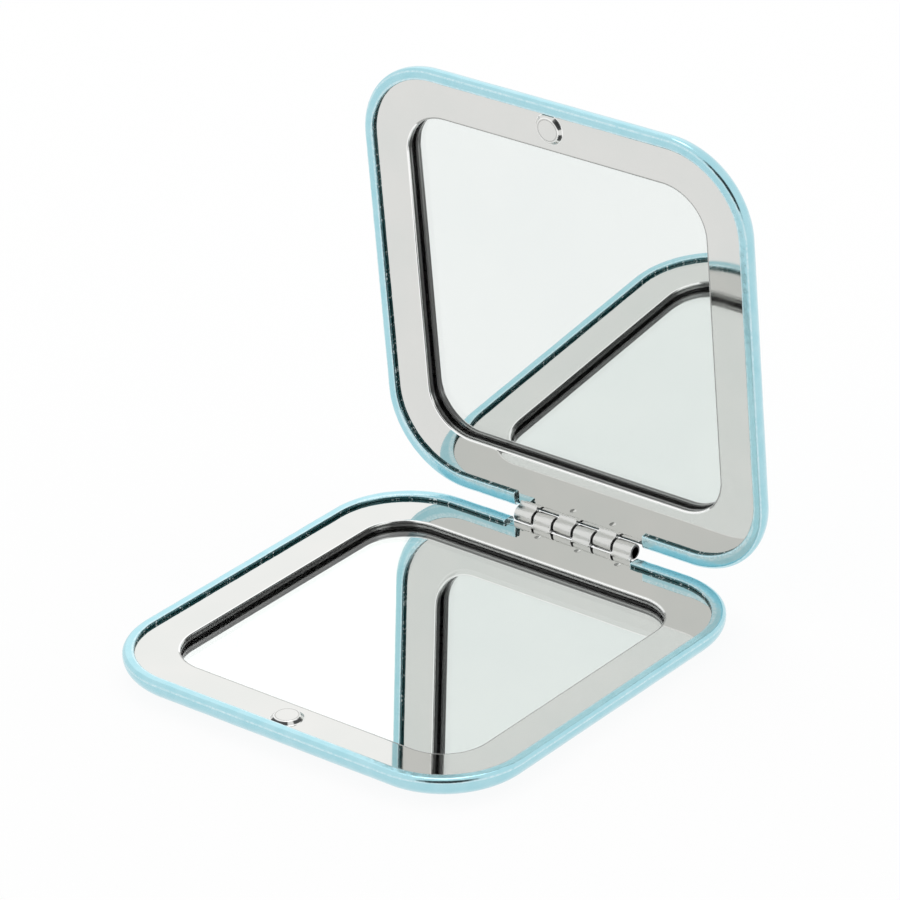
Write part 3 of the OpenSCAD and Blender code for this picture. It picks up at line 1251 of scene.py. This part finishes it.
@dataclass
class ChromedPlate:
    """The stamped plate: window flange, boss, dimples and hinge knuckles.

    Highlights and shade are painted on it along the stamped forms. The front and
    right bend of the window has a little painted shade, and its back and left bend
    a painted highlight.
    """

    outline: RoundSquare = RoundSquare(34.3, 13.1, 1.0)
    window: RoundSquare = RoundSquare(27.1, 7.3)
    window_pitch: float = 2.0
    face: float = 3.5
    thickness: float = 0.4
    glass: float = 2.5
    bend_r: float = 0.22
    # painted shade on the window's front and right bend
    bend_dark: float = 0.45
    bend_dark_w: float = 0.1
    # width of the painted highlight on the window's back and left bend
    bend_shine_w: float = 0.2
    wall_levels: tuple[float, ...] = (2.5, 2.57, 2.62, 2.86, 2.92, 3.12)
    # painted shade in bands down the window's wall, up to each level
    wall_darks: tuple[Pair, ...] = ((2.6, 1.0), (2.9, 0.5), (3.2, 0.9))
    collar: float = 0.15
    hinge_half: float = 11.2
    hinge_edge: float = 35.4
    hinge_bevel: float = 0.2
    slot_drop: float = 0.25
    boss_y: float = -30.75
    boss_r: float = 2.45
    boss_top_r: float = 1.9
    boss_h: float = 0.5
    boss_round: float = 0.14
    boss_foot: float = 0.08
    boss_rings: tuple[float, ...] = (0.05, 0.12, 0.2, 0.27)
    boss_core: float = 0.8
    boss_reach: float = 0.1
    boss_line: float = 0.09
    boss_shoulder: float = 0.05
    # painted highlight at the boss's foot and shoulder
    boss_shine: float = 0.9
    # painted shade in a ring on the boss's top
    ring: Pair = (0.15, 0.3)
    ring_dark: float = 0.3
    skim: float = 0.003
    # painted dark reflections on the boss's wall, for the base and the lid
    boss_darks: tuple[tuple[Pair, ...], ...] = (
        ((-88.0, 40.0), (-5.0, 18.0)), ((-33.0, 20.0), (22.0, 12.0))
    )
    dimple_r: float = 0.55
    dimple_depth: float = 0.15
    dimple_y: float = 33.1
    dimple_first: float = -4.48
    dimple_pitch: float = 7.4667
    dimple_lip: float = 0.06
    dimple_core: float = 0.08
    # painted shade on the dimples' left sides
    dimple_dark: float = 0.55
    rolled_from: Pair = (34.5, 35.45)
    raised: float = 0.02
    bore_reach: float = 0.9
    # painted shade in the knuckles' bores
    bore_dark: float = 0.7
    barrel_reach: float = 1.3
    # painted highlight on the knuckles' end bevels
    barrel_span: Pair = (1.0, 2.1)
    bevel_share: float = 0.8
    knuckle: HingeKnuckle = field(default_factory=HingeKnuckle)
    rows: tuple[tuple[int, float], ...] = ((1, 0.81), (0, 0.85))

    def flange(self) -> Workpiece:
        """The window's flange with a narrow collar of the flat round it.

        Returns:
            The flange as a single sheet.
        """
        centre = (self.bend_r, self.face - self.bend_r)
        section = joined(
            [(0, z) for z in self.wall_levels],
            arc(centre, self.bend_r, self.bend_r, 180, 90, 8),
            [(self.bend_r + self.collar, self.face)],
        )
        return self.window.sweep("flange", section, self.window_pitch, 28)

    def border(self) -> Workpiece:
        """The plate's outline as a closed line, with the step out at the hinge.

        Returns:
            The line, level with the plate's face.
        """
        run, back = self.outline.run, self.outline.half + self.outline.back
        half, edge = self.hinge_half, self.hinge_edge
        line = [(-run, back), (-half, back), (-half, edge), (half, edge), (half, back), (run, back)]
        work = Workpiece.from_point("border", (*line[0], self.face))
        with work.edit(select=True):
            work.draw([(*p, self.face) for p in line])
            top = run + self.outline.back
            side = (0, run + top, 0)
            for x, y, step in (
                (run, top, (0, -run - top, 0)), (run, -run, (-2 * run, 0, 0)), (-run, -run, side)
            ):
                work.turn((x, y), 32)
                work.carry(step, 1)
            work.turn((-run, top), 32)
        work.weld()
        return work

    def spun(
        self, name: str, section: Sequence[Point], x: float, y: float, steps: int
    ) -> Workpiece:
        """A section turned once round an upright axis.

        Args:
            name: Name of the piece.
            section: Points as radius and height, from the rim to the middle.
            x: Place of the axis.
            y: Place of the axis.
            steps: Steps of the turn.

        Returns:
            The turned sheet.
        """
        points = [(x + r, y, z) for r, z in section]
        work = Workpiece.from_point(name, points[0])
        with work.edit(select=True):
            work.draw(points)
            bpy.ops.mesh.select_all(action="SELECT")
            work.turn((x, y), steps, 360)
        work.weld()
        return work

    def boss(self) -> Workpiece:
        """The raised boss over the magnet, with its rounded shoulder and foot.

        Returns:
            The boss as a single sheet.
        """
        top, r = self.face + self.boss_h, self.boss_round
        slope = math.degrees(math.atan2(self.boss_h, self.boss_r - self.boss_top_r))
        lift = r * math.tan(math.radians(slope / 2))
        flat = self.boss_top_r - lift
        foot = arc((self.boss_r + lift, self.face + r), r, r, -90, -90 - slope, 5)
        shoulder = arc((flat, top - r), r, r, 90 - slope, 90, 5)
        section = joined(
            [(self.boss_r + lift + self.boss_foot, self.face)],
            foot,
            straight(foot[-1], shoulder[0], 6),
            shoulder,
            [(flat - inwards, top) for inwards in self.boss_rings],
            [(self.boss_core, top), (0, top)],
        )
        return self.spun("boss", section, 0, self.boss_y, 64)

    def dimples(self) -> list[Workpiece]:
        """The three dimples stamped in front of the base's knuckles.

        Returns:
            Three hollows as single sheets.
        """
        ball = (self.dimple_r**2 + self.dimple_depth**2) / (2 * self.dimple_depth)
        reach = math.degrees(math.asin(self.dimple_r / ball))
        hollow = arc((0, self.face - self.dimple_depth + ball), ball, ball, -90 + reach, -90, 5)
        section = joined([(self.dimple_r + self.dimple_lip, self.face)], hollow)
        first = self.spun("dimple", section, self.dimple_first, self.dimple_y, 32)
        return [first, *(first.copy("dimple").shift(self.dimple_pitch * i) for i in (1, 2))]

    def sheet(self, half: Half) -> Workpiece:
        """Joins the stamped forms, fills the flat between them and gives it its thickness.

        Args:
            half: The half that the plate closes.

        Returns:
            The plate without its knuckles, drawn as the base's.
        """

        def on_face(e: Any) -> bool:
            """Whether an edge lies level with the plate's face."""
            return abs(middle(e).z - self.face) < NEAR

        work = self.border()
        work.absorb(self.flange(), self.boss(), *(self.dimples() if half is Half.BASE else ()))
        with work.edit():
            work.pick(Part.EDGES, lambda e: (e.is_wire or e.is_boundary) and on_face(e))
            bpy.ops.mesh.fill(use_beauty=True)
        work.weld()
        flat = max(work.piece.data.polygons, key=lambda face: face.area)
        if flat.normal.z < 0:
            with work.edit(select=True):
                bpy.ops.mesh.flip_normals()
        work.modify("SOLIDIFY", thickness=self.thickness * MM, offset=-1, use_even_offset=True)
        behind = self.outline.half - NEAR
        work.bevel(
            lambda e: e.calc_face_angle(0) > CREASED and on_face(e) and middle(e).y > behind,
            self.hinge_bevel,
            3,
        )
        return work

    def from_boss(self, p: Vector) -> float:
        """How far a point lies from the boss's axis."""
        return math.hypot(p.x, p.y - self.boss_y)

    def from_end(self, p: Vector) -> float:
        """How far a point lies from the nearest end of a knuckle, along the hinge."""
        place = (p.x - self.knuckle.first_x) % self.knuckle.pitch
        return min(place, abs(place - self.knuckle.width), self.knuckle.pitch - place)

    def in_dimple(self, p: Vector, side: int) -> bool:
        """Whether a point lies on one side of a dimple.

        Args:
            p: The point, drawn as the base's.
            side: -1 for its left side and 1 for its right.

        Returns:
            True if it does.
        """
        if not self.face - self.dimple_depth - LOOSE <= p.z <= self.face - NEAR:
            return False
        aways = [p.x - self.dimple_first - self.dimple_pitch * i for i in range(3)]
        near = min(aways, key=abs)
        inside = math.hypot(near, p.y - self.dimple_y) < self.dimple_r + LOOSE
        return inside and near * side > self.dimple_core

    def shade(self, p: Vector, darks: Sequence[Pair]) -> float:
        """How much painted shade a point takes.

        Args:
            p: The point, drawn as the base's.
            darks: Middle and half width, in degrees, of the painted dark reflections on the boss.

        Returns:
            A share from 0 to 1.
        """
        beyond = self.window.beyond(p)
        # painted shade in bands down the window's wall
        if abs(beyond) < LOOSE and self.glass - LOOSE < p.z < self.wall_darks[-1][0]:
            return next(dark for level, dark in self.wall_darks if p.z < level)
        # painted shade on the window's front and right bend
        if LOOSE < beyond < self.bend_r and p.z > self.face - self.bend_dark_w and p.y < p.x:
            return self.bend_dark
        # painted shade: a ring on the boss's top and dark reflections on its wall
        if self.from_boss(p) < self.boss_r + self.boss_reach and p.z > self.face:
            lift = p.z - self.face
            if lift > self.boss_h - NEAR:
                inset = self.boss_top_r - self.from_boss(p)
                return self.ring_dark if self.ring[0] < inset < self.ring[1] else 0.0
            turn = math.degrees(math.atan2(p.y - self.boss_y, p.x))
            wall = self.boss_line < lift < self.boss_h - self.boss_line
            return float(wall and any(abs(turn - at) < width for at, width in darks))
        # painted shade on the slot's cut edge, in the bores, on the knuckles' ends and in the
        # dimples
        if -NEAR < p.y - self.hinge_edge < LOOSE and p.z < self.face - self.slot_drop:
            return 1.0
        if AXIS.away(p) < self.bore_reach:
            return self.bore_dark
        if AXIS.away(p) < self.barrel_reach and self.from_end(p) < self.raised:
            return 1.0
        return self.dimple_dark if self.in_dimple(p, -1) else 0.0

    def gleam(self, p: Vector) -> float:
        """How much painted highlight a point takes.

        Args:
            p: The point, drawn as the base's.

        Returns:
            A share from 0 to 1.
        """
        lift = p.z - self.face
        bend = LOOSE < self.window.beyond(p) < self.bend_r
        # painted highlight on the window's back and left bend
        if bend and lift > -self.bend_shine_w and p.y > p.x:
            return 1.0
        # painted highlight at the boss's foot and shoulder
        if self.from_boss(p) < self.boss_r + self.boss_reach and lift > self.skim:
            shoulder = self.boss_h - self.boss_shoulder < lift < self.boss_h - self.skim
            return self.boss_shine if lift < self.boss_line or shoulder else 0.0
        # painted highlight on the slot's bevel, the knuckles' end bevels and the dimples
        slot = self.hinge_edge - self.hinge_bevel - LOOSE < p.y < self.hinge_edge + NEAR
        if slot and -self.hinge_bevel - LOOSE < lift < -self.skim:
            return 1.0
        low, high = self.barrel_span
        off_sheet = p.y > self.hinge_edge + self.raised or lift > self.raised
        if off_sheet and low < AXIS.away(p) < high:
            bevel = self.knuckle.edge_bevel * self.bevel_share
            return float(self.raised < self.from_end(p) < bevel)
        return float(self.in_dimple(p, 1))

    def rolled(self, p: Vector) -> float:
        """Whether the sheet was rolled at a point, which leaves it a little matt."""
        root, barrel = self.rolled_from
        return float(p.y > barrel or (p.y > root and p.z > self.face + self.raised))

    def build(self) -> None:
        """Builds and dresses both plates."""
        for half, (first, bore_r), darks in zip(Half, self.rows, self.boss_darks):
            work = self.sheet(half)
            work.rename(f"{half.value}_chromed_plate")
            work.absorb(*self.knuckle.row(first, bore_r))
            # painted shade and painted highlights, which the chrome finish reads
            work.paint("shade", lambda p: self.shade(p, darks))
            work.paint("gleam", self.gleam)
            work.paint("rolled", self.rolled)
            if half is Half.LID:
                work.into_lid()
            work.smooth()
            work.dress(ChromeFinish(), half, "plate", f"{half.value}_plate")


@dataclass
class MirrorPane:
    """The glass with its silver coat, modelled as the second-surface mirror it is."""

    path: RoundSquare = RoundSquare(28.4, 8.6)
    glass_levels: Pair = (1.3, 2.485)
    glass_edge: float = 0.12
    silver_levels: Pair = (1.31, 1.33)
    silver_inset: float = 0.1
    corner_steps: int = 24

    def slab(self, name: str, inset: float, levels: Pair) -> Workpiece:
        """A slab with round corners, bevelled out of a cube that is brought to its size.

        Args:
            name: Name of the piece.
            inset: How far it stays inside the pane's outline.
            levels: Levels of its underside and its top.

        Returns:
            The slab in the base's place.
        """
        half = self.path.half - inset
        low, high = levels
        work = Workpiece(added(bpy.ops.mesh.primitive_cube_add, size=MM), name)
        with work.edit(select=True):
            sides = (2 * half, 2 * half, high - low)
            bpy.ops.transform.resize(value=sides, center_override=(0, 0, 0))
            bpy.ops.transform.translate(value=Vector((0, 0, low + high)) / 2 * MM)
        work.bevel(lambda e: span(e, 2) > NEAR, self.path.corner_r - inset, self.corner_steps)
        return work

    def build(self) -> None:
        """Builds and dresses both mirrors."""
        for half in Half:
            glass = self.slab(f"{half.value}_glass", 0, self.glass_levels)
            glass.bevel(
                lambda e: span(e, 2) < NEAR and e.calc_face_angle(0) > CREASED, self.glass_edge, 2
            )
            silver = self.slab(f"{half.value}_silver", self.silver_inset, self.silver_levels)
            for work in (glass, silver):
                if half is Half.LID:
                    work.into_lid()
                work.smooth()
            glass.dress(GlassFinish(), half, "mirror", f"{half.value}_mirror")
            silver.dress(SilverFinish(), half, "mirror")


@dataclass
class HingePin:
    """The wire that both rows of knuckles close on."""

    radius: float = 0.8
    half_length: float = 10.6
    chamfer: float = 0.14
    end_inset: float = 0.3

    def build(self) -> None:
        """Builds the pin from a rod with broken ends."""
        rod = added(
            bpy.ops.mesh.primitive_cylinder_add,
            vertices=48, radius=self.radius * MM, depth=2 * self.half_length * MM,
        )
        work = Workpiece(rod, "hinge_wire")
        with work.edit(select=True):
            bpy.ops.transform.rotate(value=math.pi / 2, orient_axis="Y", center_override=(0, 0, 0))
            bpy.ops.transform.translate(value=AXIS.point)
        work.bevel(lambda e: e.calc_face_angle(0) > CREASED, self.chamfer, 3)
        with work.edit():
            work.pick(Part.FACES, lambda f: abs(abs(middle(f).x) - self.half_length) < NEAR)
            bpy.ops.mesh.inset(thickness=self.end_inset * MM)
        work.smooth()
        work.dress(SteelFinish(), Half.BASE, "pin", "hinge_pin")


class CarriedParts:
    """The CAD nodes that keep their shape: shells, backing cards and magnets."""

    finishes: dict[str, Finish] = {
        "shell": TinplateFinish(),
        "backing_card": CardFinish(),
        "magnet": MagnetFinish(),
    }

    def build(self) -> None:
        """Gives each carried node its finish."""
        for half in Half:
            for part, finish in self.finishes.items():
                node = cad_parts[f"{half.value}_{part}"]
                finish.cover(node)
                LOG.info("%s: %s", node.name, finish.name)


@dataclass
class Glow:
    """A round soft panel far from the object, which adds light or holds it back.

    Its reach is in metres and its opening in degrees. A strength below 0 makes it
    a dark cloth, as dense as the number says.
    """

    name: str
    heading: Point
    reach: float
    opening: float
    core: float
    strength: float
    cloth: float = 0.03

    def build(self) -> None:
        """Builds the panel, faces it to the object and gives it its soft mask."""
        radius = self.reach * math.tan(math.radians(self.opening))
        panel = added(
            bpy.ops.mesh.primitive_circle_add, vertices=64, radius=radius, fill_type="NGON"
        )
        panel.name = panel.data.name = self.name
        heading = Vector(self.heading).normalized()
        panel.location = heading * self.reach
        panel.rotation_euler = (-heading).to_track_quat("Z", "Y").to_euler()
        graph = Graph(self.name)
        place = graph.add("TexCoord").outputs["Object"]
        away = graph.add("VectorMath", {"operation": "LENGTH"}, place).outputs["Value"]
        mask = graph.fit(away, (radius * self.core, 1.0), (radius, 0.0), "SMOOTHSTEP")
        level = graph.reckon("MULTIPLY", mask, abs(self.strength), clamp=False)
        clear = graph.add("BsdfTransparent").outputs["BSDF"]
        if self.strength > 0:
            lit = graph.light(1.0, level)
            graph.show(graph.add("AddShader", None, clear, lit).outputs["Shader"])
        else:
            graph.show(graph.laid(level, clear, graph.light(self.cloth)))
        panel.data.materials.append(graph.material)
        panel.visible_camera = False


@dataclass
class Studio:
    """Floor, even white surroundings, soft panels and the camera, in metres."""

    floor_half: float = 6.0
    floor_drop: float = 0.00002
    floor_albedo: float = 0.97
    floor_white: float = 0.92
    lens: float = 211.5
    clip_start: float = 0.05
    camera_place: Point = (0.429335, -0.518879, 0.373660)
    camera_turn: Point = (63.1578, 1.5397, 38.4271)
    panels: tuple[Glow, ...] = (
        Glow("back_softbox", (-0.58, 0.67, 0.45), 2.0, 28, 0.4, 0.18),
        Glow("top_softbox", (-0.25, 0.3, 0.92), 1.6, 13, 0.6, 2.0),
        Glow("camera_flag", (0.564, -0.691, 0.451), 1.3, 35, 0.6, -0.97),
    )

    def surroundings(self) -> None:
        """Lights the scene from all round with even white."""
        world = bpy.data.worlds.new("even_white")
        world.use_nodes = True
        background = world.node_tree.nodes["Background"]
        background.inputs["Color"].default_value = (1, 1, 1, 1)
        background.inputs["Strength"].default_value = 1.0
        bpy.context.scene.world = world

    def floor(self) -> None:
        """Lays the floor, white where it is seen, with a breath of the object's shadow."""
        floor = added(
            bpy.ops.mesh.primitive_plane_add,
            size=2 * self.floor_half, location=(0, 0, -self.floor_drop),
        )
        floor.name = floor.data.name = "studio_floor"
        graph = Graph("studio_floor")
        path = graph.add("LightPath")
        seen: Socket | float = 0.0
        for ray in ("Is Camera Ray", "Is Glossy Ray", "Is Transmission Ray"):
            seen = graph.reckon("ADD", path.outputs[ray], seen)
        share = graph.reckon("MULTIPLY", seen, self.floor_white)
        albedo = (self.floor_albedo, self.floor_albedo, self.floor_albedo, 1)
        paper = graph.add("BsdfDiffuse", Color=albedo).outputs["BSDF"]
        graph.show(graph.laid(share, paper, graph.light(1.0)))
        floor.data.materials.append(graph.material)

    def camera(self) -> None:
        """Sets the camera at the photograph's place."""
        data = bpy.data.cameras.new("camera")
        data.lens = self.lens
        data.clip_start = self.clip_start
        camera = bpy.data.objects.new("camera", data)
        bpy.context.scene.collection.objects.link(camera)
        camera.location = self.camera_place
        camera.rotation_euler = [math.radians(a) for a in self.camera_turn]
        bpy.context.scene.camera = camera

    def build(self) -> None:
        """Builds the whole studio."""
        self.camera()
        self.surroundings()
        self.floor()
        for panel in self.panels:
            panel.build()
        bpy.context.scene.view_settings.view_transform = "Standard"


def main() -> None:
    """Builds the studio and the pieces in order."""
    logging.basicConfig(level=logging.INFO, format="%(name)s: %(message)s")
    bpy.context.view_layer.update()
    Studio().build()
    FilmSkin().build()
    ChromedPlate().build()
    MirrorPane().build()
    HingePin().build()
    CarriedParts().build()


if __name__ == "__main__":
    main()
